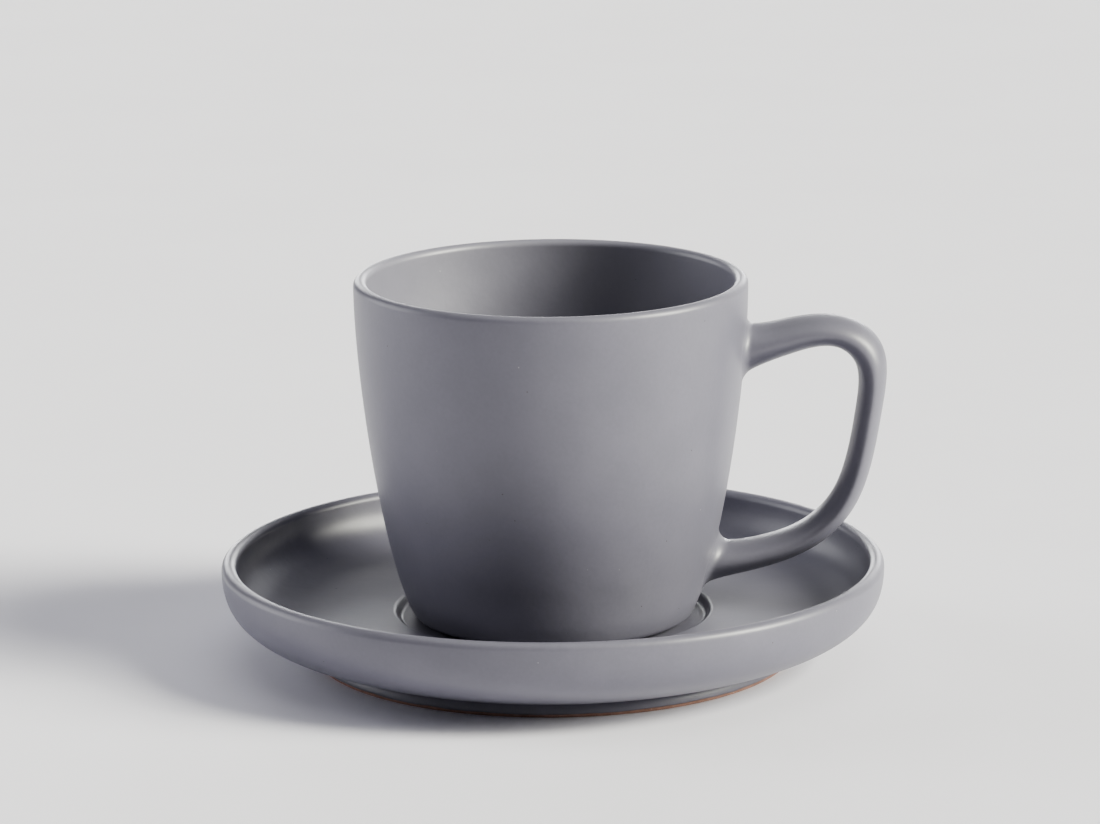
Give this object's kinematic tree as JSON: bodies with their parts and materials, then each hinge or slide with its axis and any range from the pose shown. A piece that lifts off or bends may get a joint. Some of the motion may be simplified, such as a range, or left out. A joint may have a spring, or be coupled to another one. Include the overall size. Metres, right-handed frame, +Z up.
{
  "type": "cup with saucer",
  "caption": "Handled coffee cup standing loose in the well of a round raised-rim saucer, both in satin-glazed stoneware on foot rings of bare clay.",
  "frame": {"origin": "on the table, on the saucer's axis", "axes": "+Z up along the axis of the saucer and the cup, +X towards the handle"},
  "size_m": [0.14, 0.14, 0.0811],
  "materials": {
    "glaze": "satin grey stoneware glaze",
    "bare_clay": "bare fired clay"
  },
  "bodies": {
    "saucer": {"saucer_dish": "glaze", "saucer_foot_ring": "bare_clay"},
    "cup": {"cup_body": "glaze", "cup_foot_ring": "bare_clay", "cup_handle": "glaze"}
  },
  "joints": [
    {"name": "cup_lift", "type": "slide", "parent": "saucer", "child": "cup", "axis": [0, 0, 1], "range_m": [0, 0.06]}
  ]
}
